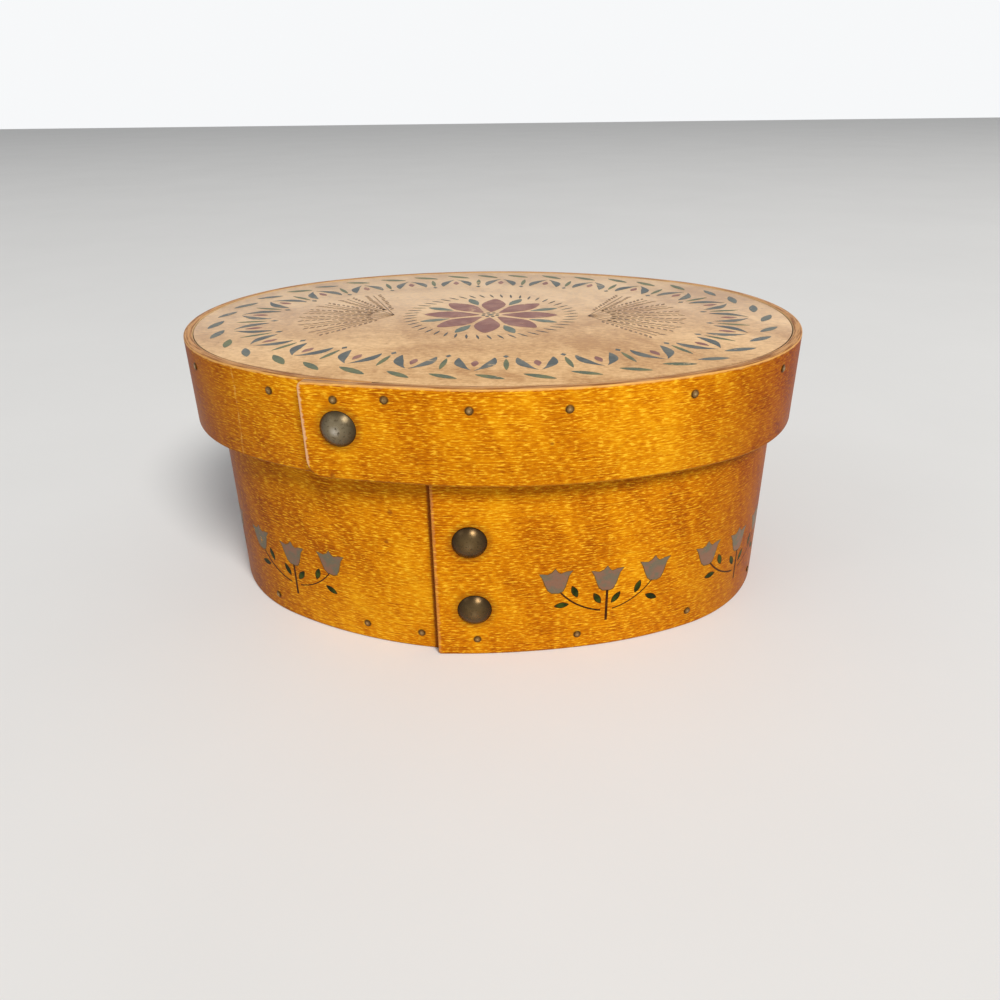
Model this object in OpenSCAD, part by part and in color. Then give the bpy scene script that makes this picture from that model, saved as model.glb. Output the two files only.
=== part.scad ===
// Oval bentwood pantry box with a lift-off lid.
// Each hoop is one thin strip bent round an oval board and lapped at the front.
// The lap's inner end is shaved to a feather, and domed tacks go through both
// layers and are bent over inside. Small brads hold each hoop to its board.
// Z is up, the long axis is X, the laps are at the front (-Y), and the origin
// is on the table under the middle of the body's oval.

/* [Body] */
// Length of the body's oval, over the hoop
body_len = 196; // [180:1:220]
// Width of the body's oval, over the hoop but not over its lap
body_wid = 140; // [132:1:160]
// Radius of the oval's two end arcs, over the hoop
end_r = 60; // [50:1:64]
// Height of the body's hoop
body_h = 83; // [70:1:120]
// Thickness of the bent strip, for body and lid
band_t = 3; // [2:0.1:4]
// Thickness of the bottom board
base_t = 9; // [6:0.5:12]

/* [Lid] */
// Height of the lid's hoop
lid_h = 29; // [22:1:40]
// Thickness of the lid's board
lid_t = 9; // [6:0.5:12]
// Air between the body and the lid's hoop, at the back and at the ends
side_gap = 1.625; // [0.8:0.025:3]
// How far the lid sits to the side on the body
lid_dx = -1; // [-1.2:0.1:1.2]

/* [Lap joints] */
// Place of the body strip's free end along the front, from the middle
body_lap_at = -13.3; // [-25:0.1:5]
// Length of the body's lap, from the free end to the feathered tip
body_lap_len = 29.8; // [20:0.1:40]
// Place of the lid strip's free end along the front, from the middle
lid_lap_at = -47.6; // [-55:0.1:-20]
// Length of the lid's lap
lid_lap_len = 21; // [18:0.1:40]
// Thickness left at the feathered tip
tip_t = 0.35; // [0.2:0.05:0.8]
// Glue line between the two layers
lap_gap = 0.15; // [0.1:0.05:0.3]
// Bevel on the free ends' outer edge
end_bevel = 0.8; // [0.2:0.1:1.2]
// Corner radius at the top of the lid's free end
lid_corner_top = 2; // [0.5:0.5:4]
// Corner radius at the bottom of the lid's free end
lid_corner_low = 5.5; // [1:0.5:8]
// Corner radius at the bottom of the body's free end
body_corner_low = 1; // [0.5:0.5:3]

/* [Boards] */
// Joint between a board's edge and its hoop
board_gap = 0.1; // [0.05:0.05:0.3]

/* [Tacks] */
// Width of a tack's domed head
tack_head_d = 10.8; // [8:0.1:12]
// Height of the dome
tack_head_h = 2.7; // [1.5:0.1:4]
// Thickness of the dome's metal
tack_wall = 0.7; // [0.4:0.1:1]
// Thickness of a tack's shank
tack_shank_d = 1.8; // [1.2:0.1:2.4]
// Length of the leg bent over on the inside
tack_leg = 4; // [2:0.5:6]
// Distance of the body's upper tack from the free end, along the strip
high_tack_in = 11.2; // [7:0.1:20]
// Distance of the body's lower tack from the free end, along the strip
low_tack_in = 12.1; // [7:0.1:20]
// Distance of the lid's tack from the free end, along the strip
lid_tack_in = 11; // [7:0.1:16]
// Height of the lower tack over the bottom board
low_tack_up = 8.3; // [8:0.1:20]
// Distance of the upper tack under the lid's edge
high_tack_down = 21.4; // [7:0.1:24]
// Distance of the lid's tack under the lid's board
lid_tack_down = 4.2; // [2:0.1:8]

/* [Brads] */
// Thickness of a brad's pin
brad_d = 1.1; // [0.8:0.1:1.5]
// Width of a brad's head
brad_head_d = 2.2; // [1.6:0.1:3]
// Thickness of a brad's head
brad_head_t = 0.4; // [0.2:0.1:0.6]
// Length of a brad under its head
brad_len = 14; // [9:0.5:18]
// Distance of the brads from the board's outer face
brad_in = 5.4; // [2.5:0.1:7]
// Usual distance between brads round the hoop
brad_pitch = 38; // [25:1:60]
// Brads set by hand along the body's front: place from the middle, height over the row
base_front = [[-38.5, 0.4], [-19.4, 0.2], [-0.9, 0.6], [31.1, 0], [70.8, 0.5]];
// Brads set by hand along the lid's front: place from the middle, height over the row
lid_front = [[-60.1, 0], [-37.4, 0.7], [-22.8, 1.5], [0.5, -0.7], [27.6, -0.8], [64.2, -0.2]];

/* [Fits] */
// Clearance round a tack's or a brad's shank in the wood
hole_gap = 0.05; // [0.02:0.01:0.1]
// Clearance under a head, and beside a bent leg
seat_gap = 0.05; // [0.02:0.01:0.1]

/* [Hidden] */
$fn = 180;
degree = 180 / PI;

// The oval has four arcs: end arcs about (-arc_c, 0) and (arc_c, 0), and side
// arcs about (0, -side_k) and (0, side_k). They meet where a line through both
// centres cuts them, so every oval with these centres runs parallel to the others.
arc_c = body_len / 2 - end_r;
bulge = body_wid / 2 - end_r;
side_k = (arc_c * arc_c - bulge * bulge) / (2 * bulge);
side_half = atan2(arc_c, side_k);

// How thick the lap stands, and how far the lid's oval lies outside the body's
layer = band_t + lap_gap;
lid_in = side_gap + layer / 2;
lid_out = lid_in + band_t;
lid_dy = -layer / 2;
total_h = body_h + lid_t;
lid_z = total_h - lid_h;

// Small bites that make faces cross cleanly instead of just touching
lap_bite = 0.1;
merge_bite = 0.05;
notch = 0.4;

// Radii of the oval that lies g outside the body's hoop
function end_rad(g) = end_r + g;
function side_rad(g) = side_k + body_wid / 2 + g;

// A direction seen from above: 0 looks at the front, 90 to the right
function ray(a) = [sin(a), -cos(a)];

// The flat arc of a lapped strip: it leaves the oval of growth g with a gentle
// crossing and stands one layer proud at the free end.
// Gives [radius, centre, angle of the free end, angle where it leaves the oval].
function lap_arc(g, at, len) =
  let (
    ratio = sqrt(layer / (tip_t + lap_gap)),
    a_end = at / side_rad(g) * degree,
    a_merge = (at + len * ratio / (ratio - 1)) / side_rad(g) * degree,
    inner = side_rad(g) - merge_bite,
    outer = side_rad(g) + layer - lap_bite,
    q = (outer * outer - inner * inner) / (2 * (inner - outer * cos(a_merge - a_end))),
    centre = [0, side_k] - q * ray(a_merge),
    free = [0, side_k] + outer * ray(a_end) - centre
  )
  [inner + q, centre, atan2(free[0], -free[1]), a_merge];

// Angle on the flat arc at a distance from its free end
function on_strip(lap, inset) = lap[2] + inset / lap[0] * degree;

// Depth from the flat arc's face to the oval of growth g, square to the face
function depth_to(lap, a, g) =
  let (
    q = norm(lap[1] - [0, side_k]),
    turn = lap[3] - a,
    r = side_rad(g)
  )
  lap[0] - q * cos(turn) - sqrt(r * r - pow(q * sin(turn), 2));

// Lengths of a quarter of the oval: half a side arc, and a whole end arc
function side_len(g) = side_rad(g) * side_half / degree;
function end_len(g) = end_rad(g) * (180 - 2 * side_half) / degree;
function round_len(g) = 4 * side_len(g) + 2 * end_len(g);

// Face of the oval at arc place s from the middle of the front: [point, direction]
function on_oval(s, g) =
  let (
    side = side_len(g),
    whole = round_len(g),
    p = s < -side ? s + whole : s,
    right = p < side + end_len(g),
    back = p < 3 * side + end_len(g)
  )
  p <= side ? let (a = p / side_rad(g) * degree) [[0, side_k] + side_rad(g) * ray(a), a]
  : right ? let (a = side_half + (p - side) / end_rad(g) * degree) [[arc_c, 0] + end_rad(g) * ray(a), a]
  : back ? let (a = 180 + (p - 2 * side - end_len(g)) / side_rad(g) * degree)
    [[0, -side_k] + side_rad(g) * ray(a), a]
  : let (a = 180 + side_half + (p - 3 * side - end_len(g)) / end_rad(g) * degree)
    [[-arc_c, 0] + end_rad(g) * ray(a), a];

// Outer face of the whole hoop at s, with its lap: [point, direction]
function on_hoop(s, g, lap) =
  let (
    a = s / side_rad(g) * degree,
    q = norm(lap[1] - [0, side_k]),
    turn = lap[3] - a,
    far = -q * cos(turn) + sqrt(lap[0] * lap[0] - pow(q * sin(turn), 2)),
    to = [0, side_k] + far * ray(a),
    seen = to - lap[1],
    flat = atan2(seen[0], -seen[1])
  )
  flat > lap[2] && far > side_rad(g) && a < lap[3] ? [to, flat] : on_oval(s, g);

// All brads of a hoop: the hand-set ones, then even steps round the rest
function brad_places(front, g) =
  let (
    first = front[0][0],
    last = front[len(front) - 1][0],
    rest = round_len(g) - (last - first),
    steps = round(rest / brad_pitch)
  )
  concat(front, [for (i = [1:steps - 1]) [last + rest * i / steps, 0]]);

body_lap = lap_arc(0, body_lap_at, body_lap_len);
lid_lap = lap_arc(lid_out, lid_lap_at, lid_lap_len);
base_brad_at = brad_places(base_front, 0);
lid_brad_at = brad_places(lid_front, lid_out);

// The part of a side arc between the two end arcs. Its sides lie on the lines
// from the side arc's centre through the end arcs' centres.
module side_slice(g) {
  near = 0.75;
  far = 6;
  intersection() {
    translate([0, side_k]) circle(side_rad(g));
    polygon([for (p = [[-near, near], [near, near], [far, far], [-far, far]])
      [p[0] * arc_c, (1 - p[1]) * side_k]]);
  }
}

module oval(g) {
  side_slice(g);
  mirror([0, 1]) side_slice(g);
  translate([-arc_c, 0]) circle(end_rad(g));
  translate([arc_c, 0]) circle(end_rad(g));
}

// A wedge seen from a centre, between two directions
module wedge(centre, a0, a1, r) {
  polygon([centre, centre + r * ray(a0), centre + r * ray(a1)]);
}

// A curved strip about a centre, between two directions
module strip(centre, r_out, r_in, a0, a1) {
  intersection() {
    difference() {
      translate(centre) circle(r_out);
      translate(centre) circle(r_in);
    }
    wedge(centre, a0, a1, 1.3 * r_out);
  }
}

// The glue line from the free end to the feathered tip, and the step at the tip
module lap_slit(lap, len) {
  run_out = 3 / lap[0] * degree;
  tip = on_strip(lap, len);
  past = on_strip(lap, len + notch);
  difference() {
    strip(lap[1], lap[0] - band_t, lap[0] - 3 * band_t, lap[2] - run_out, past);
    strip(lap[1], lap[0] - layer, lap[0] - 4 * band_t, lap[2] - 2 * run_out, tip);
  }
}

// Plan of a hoop that lies g outside the body's: an oval ring with its lap
module hoop_plan(g, lap, len) {
  difference() {
    union() {
      oval(g);
      strip(lap[1], lap[0], lap[0] - 1.5 * band_t, lap[2], lap[3]);
    }
    oval(g - band_t);
    lap_slit(lap, len);
    // Bevel on the free end
    translate(lap[1]) rotate(lap[2]) translate([0, -lap[0]]) rotate(45)
      translate([end_bevel / sqrt(2) - 2 * end_bevel, -3 * end_bevel])
      square([2 * end_bevel, 4.5 * end_bevel]);
  }
}

// Moves a shape onto a face: its Z looks out of the wood, its Y up
module on_face(place, z) {
  translate([place[0][0], place[0][1], z]) rotate([90, 0, place[1]]) children();
}

// Place on a strip's face at a distance from its free end
function strip_place(lap, inset) =
  let (a = on_strip(lap, inset)) [lap[1] + lap[0] * ray(a), a];

// What a rounded corner takes off the outer layer at its free end.
// up is 1 for an upper corner and -1 for a lower one, and edge_z is the hoop's edge.
// The corner's arc is a hair wide, so that it crosses both edges.
module corner_cut(lap, r, edge_z, up) {
  over = 2;
  arc_r = 1.01 * r;
  intersection() {
    on_face(strip_place(lap, 0), edge_z) difference() {
      translate([-over, up > 0 ? -r : -over, -band_t - over])
        cube([r + over, r + over, band_t + 2 * over]);
      translate([r, -up * r, -band_t - 2 * over]) cylinder(r = arc_r, h = band_t + 4 * over);
    }
    translate([0, 0, edge_z - r - over]) linear_extrude(2 * (r + over))
      strip(lap[1], lap[0] + over, lap[0] - band_t - lap_gap / 2,
            lap[2] - 4 * over / lap[0] * degree, on_strip(lap, 2 * r + over));
  }
}

module tack_hole(lap, inset, z) {
  on_face(strip_place(lap, inset), z) translate([0, 0, -4 * band_t])
    cylinder(d = tack_shank_d + 2 * hole_gap, h = 6 * band_t);
}

module brad_hole(place, z) {
  on_face(place, z) translate([0, 0, -brad_len - 2 * hole_gap])
    cylinder(d = brad_d + 2 * hole_gap, h = brad_len + 2 * band_t);
}

// A domed tack through wood of the given depth, its leg bent over downwards
module tack(depth) {
  dome_r = (pow(tack_head_d / 2, 2) + pow(tack_head_h, 2)) / (2 * tack_head_h);
  shank_r = tack_shank_d / 2;
  bend = shank_r + 2 * seat_gap;
  leg_z = -depth - 4 * seat_gap - shank_r;
  translate([0, 0, seat_gap]) rotate_extrude() intersection() {
    translate([0, tack_head_h - dome_r]) difference() {
      circle(dome_r);
      circle(dome_r - tack_wall);
    }
    square([tack_head_d, tack_head_h + 1]);
  }
  translate([0, 0, leg_z + bend])
    cylinder(r = shank_r, h = tack_head_h + seat_gap - tack_wall / 2 - leg_z - bend);
  translate([0, -bend, leg_z + bend]) rotate([-90, 0, 90]) rotate_extrude(angle = 90)
    translate([bend, 0]) circle(shank_r);
  translate([0, -bend, leg_z]) rotate([90, 0, 0]) {
    cylinder(r = shank_r, h = tack_leg - tack_shank_d);
    translate([0, 0, tack_leg - tack_shank_d]) cylinder(r1 = shank_r, r2 = 0.2, h = tack_shank_d);
  }
}

module brad() {
  point = 1.5 * brad_d;
  translate([0, 0, seat_gap]) cylinder(d = brad_head_d, h = brad_head_t);
  translate([0, 0, point - brad_len]) cylinder(d = brad_d, h = brad_len - point + seat_gap + brad_head_t / 2);
  translate([0, 0, -brad_len]) cylinder(r1 = 0.15, r2 = brad_d / 2, h = point);
}

module body_brads_at() {
  for (b = base_brad_at) on_face(on_hoop(b[0], 0, body_lap), brad_in + b[1]) children();
}

module body_brad_holes() {
  for (b = base_brad_at) brad_hole(on_hoop(b[0], 0, body_lap), brad_in + b[1]);
}

module lid_brads_at() {
  for (b = lid_brad_at) on_face(on_hoop(b[0], lid_out, lid_lap), total_h - brad_in + b[1]) children();
}

module lid_brad_holes() {
  for (b = lid_brad_at) brad_hole(on_hoop(b[0], lid_out, lid_lap), total_h - brad_in + b[1]);
}

// Moves the lid's pieces to where the lid sits on the body
module lid_seat() {
  translate([lid_dx, lid_dy, 0]) children();
}

low_tack_z = base_t + low_tack_up;
high_tack_z = lid_z - high_tack_down;
lid_tack_z = body_h - lid_tack_down;

module body_band() {
  color("goldenrod") difference() {
    linear_extrude(body_h) hoop_plan(0, body_lap, body_lap_len);
    corner_cut(body_lap, body_corner_low, 0, -1);
    tack_hole(body_lap, low_tack_in, low_tack_z);
    tack_hole(body_lap, high_tack_in, high_tack_z);
    body_brad_holes();
  }
}

module base_board() {
  color("burlywood") difference() {
    linear_extrude(base_t) oval(-band_t - board_gap);
    body_brad_holes();
  }
}

// A tack at a distance from the free end, bent over on the oval of growth g
module set_tack(lap, inset, z, g) {
  on_face(strip_place(lap, inset), z) tack(depth_to(lap, on_strip(lap, inset), g));
}

module body_tack_upper() {
  color("darkkhaki") set_tack(body_lap, high_tack_in, high_tack_z, -band_t);
}

module body_tack_lower() {
  color("darkkhaki") set_tack(body_lap, low_tack_in, low_tack_z, -band_t);
}

module base_brads() {
  color("silver") body_brads_at() brad();
}

module lid_band() {
  color("orange") lid_seat() difference() {
    translate([0, 0, lid_z]) linear_extrude(lid_h) hoop_plan(lid_out, lid_lap, lid_lap_len);
    corner_cut(lid_lap, lid_corner_top, total_h, 1);
    corner_cut(lid_lap, lid_corner_low, lid_z, -1);
    tack_hole(lid_lap, lid_tack_in, lid_tack_z);
    lid_brad_holes();
  }
}

module lid_board() {
  color("tan") lid_seat() difference() {
    translate([0, 0, body_h]) linear_extrude(lid_t) oval(lid_in - board_gap);
    lid_brad_holes();
  }
}

module lid_tack() {
  color("darkkhaki") lid_seat() set_tack(lid_lap, lid_tack_in, lid_tack_z, lid_in);
}

module lid_brads() {
  color("silver") lid_seat() lid_brads_at() brad();
}

body_band();
base_board();
body_tack_upper();
body_tack_lower();
base_brads();
lid_band();
lid_board();
lid_tack();
lid_brads();
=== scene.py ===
# %% [markdown]
# # A bentwood pantry box
#
# The real box is two thin strips of birch, steamed soft, bent round oval boards
# and lapped at the front. This script makes it in the same order: cut the flat
# strips, bend them, fit the boards, drive the tacks and brads, then paint.
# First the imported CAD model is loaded. It says where everything lies.

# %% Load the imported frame
import math
import random

import bmesh
import bpy
from mathutils import Matrix, Vector


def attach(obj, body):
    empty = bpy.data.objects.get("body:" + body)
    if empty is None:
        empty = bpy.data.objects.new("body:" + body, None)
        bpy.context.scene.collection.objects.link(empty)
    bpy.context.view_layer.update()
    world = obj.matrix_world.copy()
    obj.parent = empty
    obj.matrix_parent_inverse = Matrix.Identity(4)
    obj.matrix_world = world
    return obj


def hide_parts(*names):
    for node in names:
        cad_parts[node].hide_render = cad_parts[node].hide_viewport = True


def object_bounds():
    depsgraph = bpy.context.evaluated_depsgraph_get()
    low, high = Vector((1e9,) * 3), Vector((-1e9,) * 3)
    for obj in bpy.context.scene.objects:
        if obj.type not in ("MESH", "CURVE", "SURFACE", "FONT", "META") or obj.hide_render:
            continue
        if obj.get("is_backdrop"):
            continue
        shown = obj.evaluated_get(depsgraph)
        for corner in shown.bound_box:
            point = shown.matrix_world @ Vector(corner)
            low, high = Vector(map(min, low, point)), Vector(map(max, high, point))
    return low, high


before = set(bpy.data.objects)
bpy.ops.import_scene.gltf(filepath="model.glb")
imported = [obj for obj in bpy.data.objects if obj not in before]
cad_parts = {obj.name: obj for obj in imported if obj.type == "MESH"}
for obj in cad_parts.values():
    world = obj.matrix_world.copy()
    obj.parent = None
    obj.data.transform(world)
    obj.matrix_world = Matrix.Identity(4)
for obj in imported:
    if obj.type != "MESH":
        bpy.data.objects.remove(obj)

cad_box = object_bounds()
bpy.ops.object.select_all(action="DESELECT")

# %% [markdown]
# ## Camera
#
# The camera stands a hand's breadth above the lid and looks down at the front.
# Its place and aim were worked out from the rims of the box, so they are written
# as they are. The roll is the small tilt of a camera held by hand.

# %% Set up the camera
mm = 0.001
picture_px = 1000
focal_px = 807.5
sensor = 36.0
camera_place = Vector((23.198, -279.762, 163.364)) * mm
aim = Vector((-0.06915636, 0.88682768, -0.45689611))
roll = math.radians(-0.863)

level_right = aim.cross(Vector((0, 0, 1))).normalized()
level_up = level_right.cross(aim)
camera_right = math.cos(roll) * level_right + math.sin(roll) * level_up
camera_up = math.cos(roll) * level_up - math.sin(roll) * level_right

lens = bpy.data.cameras.new("camera")
lens.sensor_width = sensor
lens.lens = focal_px / picture_px * sensor
lens.clip_start = 0.02
camera = bpy.data.objects.new("camera", lens)
turn = Matrix((camera_right, camera_up, -aim)).transposed().to_4x4()
camera.matrix_world = Matrix.Translation(camera_place) @ turn
bpy.context.scene.collection.objects.link(camera)
bpy.context.scene.camera = camera
bpy.context.scene.view_settings.view_transform = "Standard"
print("lens", round(lens.lens, 2), "mm")

# %% [markdown]
# ## Shader helpers
#
# A material is a small network of nodes. These helpers place a node, link what
# is given as a socket and write down what is given as a value, so each material
# below reads like a recipe.

# %% Place nodes and wire them
def put(tree, kind, sockets=None, **settings):
    """Places one node. A socket in sockets is linked, any other value is written."""
    node = tree.nodes.new("ShaderNode" + kind)
    for name, value in settings.items():
        setattr(node, name, value)
    for name, value in (sockets or {}).items():
        if isinstance(value, bpy.types.NodeSocket):
            tree.links.new(value, node.inputs[name])
        else:
            node.inputs[name].default_value = value
    return node


def tint(red, green, blue):
    return (red, green, blue, 1.0)


def calc(tree, operation, *values):
    return put(tree, "Math", dict(enumerate(values)), operation=operation).outputs[0]


def fade(tree, value, start, end):
    """0 at start, 1 at end and smooth between them, whichever is larger."""
    sockets = {"Value": value, "From Min": start, "From Max": end}
    return put(tree, "MapRange", sockets, interpolation_type="SMOOTHSTEP").outputs[0]


def mixed(tree, amount, under, over, how="MIX"):
    sockets = {0: amount, 6: under, 7: over}
    return put(tree, "Mix", sockets, data_type="RGBA", blend_type=how).outputs[2]


def cover(tree, colour, mask, share, over, how="MIX"):
    """Lays a colour over another where the mask is 1, and at most by a share."""
    return mixed(tree, calc(tree, "MULTIPLY", mask, share), colour, over, how)


def blend(tree, shares):
    """Adds values up, each times its share."""
    total = 0.0
    for value, share in shares:
        total = calc(tree, "MULTIPLY_ADD", value, share, total)
    return total


def colour_scale(tree, value, stops):
    """Colours along a value, as (place, colour) stops."""
    ramp = put(tree, "ValToRGB", {0: value})
    points = ramp.color_ramp.elements
    while len(points) < len(stops):
        points.new(0.5)
    for point, (place, colour) in zip(points, stops):
        point.position, point.color = place, colour
    return ramp.outputs[0]


def noise(tree, place, stretch, detail=3.0, rough=0.6, warp=0.0):
    """Noise whose features are about 1 / stretch metres long in each direction."""
    scaled = put(tree, "VectorMath", {0: place, 1: stretch}, operation="MULTIPLY")
    sockets = {"Vector": scaled.outputs[0], "Scale": 1.0, "Detail": detail,
               "Roughness": rough, "Distortion": warp}
    return put(tree, "TexNoise", sockets).outputs[0]


def new_material(name):
    material = bpy.data.materials.new(name)
    material.use_nodes = True
    tree = material.node_tree
    return material, tree, tree.nodes["Principled BSDF"]


def surface(tree, shader, colour, roughness, height, strength, depth, level=0.5):
    """Links a colour, a roughness and a bump, and sets how much the surface mirrors."""
    tree.links.new(colour, shader.inputs["Base Color"])
    tree.links.new(roughness, shader.inputs["Roughness"])
    shader.inputs["Specular IOR Level"].default_value = level
    bump = put(tree, "Bump", {"Height": height, "Strength": strength, "Distance": depth})
    tree.links.new(bump.outputs[0], shader.inputs["Normal"])


def new_group(name, takes, gives):
    """A shader group with named sockets: returns it, what it takes and what it gives."""
    tree = bpy.data.node_groups.new(name, "ShaderNodeTree")
    for side, sockets in (("INPUT", takes), ("OUTPUT", gives)):
        for label, kind in sockets.items():
            tree.interface.new_socket(label, in_out=side, socket_type="NodeSocket" + kind)
    inlet, outlet = tree.nodes.new("NodeGroupInput"), tree.nodes.new("NodeGroupOutput")
    return tree, inlet.outputs, outlet.inputs


def use_group(tree, group, sockets):
    return put(tree, "Group", sockets, node_tree=group).outputs

# %% [markdown]
# ## Floor and light
#
# A pale floor, a large soft lamp in front and to the right, a weaker one on the
# left and a plain white sky. The lamp is in front because the hoops' middle is
# the brightest part of the real box and its ends fall off. The sky shows white
# to the camera and in reflections, but lights the wood more gently.

# %% Lay the floor and hang the lamps
bpy.ops.mesh.primitive_plane_add(size=8.0)
floor = bpy.context.object
floor.name = "floor"
floor_material, tree, shader = new_material("pale floor")
floor_place = put(tree, "TexCoord").outputs["Object"]
floor_cloud = noise(tree, floor_place, (6, 6, 6), detail=4)
floor_colour = mixed(tree, floor_cloud, tint(0.78, 0.775, 0.765), tint(0.84, 0.835, 0.825))
tree.links.new(floor_colour, shader.inputs["Base Color"])
shader.inputs["Roughness"].default_value = 0.9
shader.inputs["Specular IOR Level"].default_value = 0.1
floor.data.materials.append(floor_material)
floor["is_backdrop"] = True

sky = bpy.data.worlds.new("soft white sky")
bpy.context.scene.world = sky
sky.use_nodes = True
tree = sky.node_tree
tree.nodes.clear()
path = put(tree, "LightPath").outputs
seen = calc(tree, "MAXIMUM", path["Is Camera Ray"], path["Is Glossy Ray"])
seen = calc(tree, "MAXIMUM", seen, path["Is Transmission Ray"])
sky_light = put(tree, "Background", {"Color": tint(0.96, 0.98, 1.0), "Strength": 0.36})
sky_seen = put(tree, "Background", {"Color": tint(0.93, 0.94, 0.95), "Strength": 1.0})
either = put(tree, "MixShader", {0: seen, 1: sky_light.outputs[0], 2: sky_seen.outputs[0]})
put(tree, "OutputWorld", {"Surface": either.outputs[0]})


def hang_lamp(name, place, target, size, watts, colour):
    light = bpy.data.lights.new(name, "AREA")
    light.shape, light.size = "DISK", size
    light.energy, light.color = watts, colour
    lamp = bpy.data.objects.new(name, light)
    lamp.location = place
    lamp.rotation_euler = (Vector(target) - Vector(place)).to_track_quat("-Z", "Y").to_euler()
    bpy.context.scene.collection.objects.link(lamp)


middle = (0.0, 0.0, 0.05)
hang_lamp("front lamp", (1.65, -2.85, 3.15), middle, 1.50, 170.0, (1.0, 0.98, 0.95))
hang_lamp("left lamp", (-2.55, -1.65, 2.25), middle, 1.80, 8.0, (0.95, 0.98, 1.0))

# %% [markdown]
# ## The oval
#
# Such boxes are bent round a four-arc oval: two end arcs and two flatter side
# arcs that meet where one line goes through both centres. Every oval with the
# same centres runs parallel to the others, so one function serves both hoops
# and both boards. A place on it is a distance from the middle of the front.

# %% The four-arc oval
end_x, end_radius = 38.0 * mm, 60.0 * mm
side_y, side_radius = 67.2 * mm, 137.2 * mm
side_turn = math.atan2(end_x, side_y)


def facing(turn):
    """Direction seen from above: 0 looks to the front, a quarter turn to the right."""
    return Vector((math.sin(turn), -math.cos(turn), 0.0))


def arc_lengths(grow):
    """Half a side arc and a whole end arc of the oval that lies grow outside the body's."""
    return (side_radius + grow) * side_turn, (end_radius + grow) * (math.pi - 2 * side_turn)


def round_length(grow):
    side, end = arc_lengths(grow)
    return 4 * side + 2 * end


def on_oval(place, grow):
    """Point and outward direction at a place on the oval."""
    side, end = arc_lengths(grow)
    s = (place + side) % round_length(grow) - side
    if s <= side:
        turn, centre, radius = s / (side_radius + grow), (0, side_y, 0), side_radius
    elif s <= side + end:
        turn, centre, radius = side_turn + (s - side) / (end_radius + grow), (end_x, 0, 0), end_radius
    elif s <= 3 * side + end:
        turn = math.pi + (s - 2 * side - end) / (side_radius + grow)
        centre, radius = (0, -side_y, 0), side_radius
    else:
        turn = math.pi + side_turn + (s - 3 * side - end) / (end_radius + grow)
        centre, radius = (-end_x, 0, 0), end_radius
    out = facing(turn)
    return Vector(centre) + (radius + grow) * out, out


print("round the body", round(round_length(0) / mm, 1), "mm")

# %% [markdown]
# ## How a strip bends
#
# From its free end a strip first runs over its own other end on a slightly
# flatter arc, then joins the oval, goes all the way round, and ends as a thin
# feather under itself. This class turns a place on the flat strip into a place
# on the bent one. The flat place is also kept on each vertex, and the grain
# reads it, so the grain runs round the bend as it does in real wood.

# %% Bend a strip
band = 3.0 * mm
glue = 0.15 * mm
feather = 0.35 * mm
layer = band + glue
merge_bite = 0.05 * mm


class Hoop:
    def __init__(self, grow, lap_radius, free_turn, merge_turn, lap, low, height, shift):
        self.grow, self.lap_radius, self.height = grow, lap_radius, height
        self.side = side_radius + grow
        self.shift = Vector((shift[0], shift[1], low))
        self.free, self.merge = math.radians(free_turn), math.radians(merge_turn)
        self.round = round_length(grow)
        self.reach = lap_radius - (self.side - merge_bite)
        self.lap_centre = Vector((0, side_y, 0)) - self.reach * facing(self.merge)
        self.lap_run = lap_radius * (self.merge - self.free)
        self.merge_place = self.side * self.merge
        tip = self.lap_centre + (lap_radius - layer) * facing(self.free + lap / lap_radius)
        self.tip_place = self.side * math.atan2(tip.x, side_y - tip.y)
        end = self.lap_centre + lap_radius * facing(self.free)
        self.free_place = self.side * math.atan2(end.x, side_y - end.y)
        self.length = self.lap_run + self.round - self.merge_place + self.tip_place

    def lap_face(self, turn, under=0.0):
        """Distance from the side arc's centre to the lap's face, or to a depth under it."""
        off = self.merge - turn
        r = self.lap_radius - under
        return math.sqrt(r * r - (self.reach * math.sin(off)) ** 2) - self.reach * math.cos(off)

    def bent(self, along, depth):
        """Point and outward direction, before the hoop's height and shift."""
        if along < self.lap_run:
            out = facing(self.free + along / self.lap_radius)
            return self.lap_centre + (self.lap_radius - depth) * out, out
        place = self.merge_place + along - self.lap_run
        face, out = on_oval(place, self.grow)
        hidden = place - self.round
        if hidden > self.free_place - 1.5 * mm:
            turn = hidden / self.side
            room = self.lap_face(turn, layer) - (self.side - band)
            room = min(band, max(feather, room))
            depth = band - (band - depth) * room / band
        return face - depth * out, out

    def place(self, along, depth, up):
        point, _ = self.bent(along, depth)
        return point + self.shift + Vector((0, 0, up))

    def along_of(self, place):
        """Distance along the strip of a place seen from outside."""
        turn = place / self.side
        if -side_turn < turn < self.merge:
            seen = Vector((0, side_y, 0)) + self.lap_face(turn) * facing(turn) - self.lap_centre
            flat_turn = math.atan2(seen.x, -seen.y)
            if flat_turn > self.free:
                return self.lap_radius * (flat_turn - self.free)
        return self.lap_run + (place - self.merge_place) % self.round

    def wood_behind(self, along):
        """Thickness of wood from the lap's face to the inside of the hoop."""
        off = self.merge - self.free - along / self.lap_radius
        inner = self.side - band
        edge = math.sqrt(inner * inner - (self.reach * math.sin(off)) ** 2)
        return self.lap_radius - self.reach * math.cos(off) - edge

    def stand(self, along, up):
        """Puts a fixture on the face: its Z looks out of the wood and its Y up."""
        point, out = self.bent(along, 0.0)
        side = Vector((-out.y, out.x, 0.0))
        turn = Matrix((side, Vector((0, 0, 1)), out)).transposed().to_4x4()
        return Matrix.Translation(point + self.shift + Vector((0, 0, up))) @ turn


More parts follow.
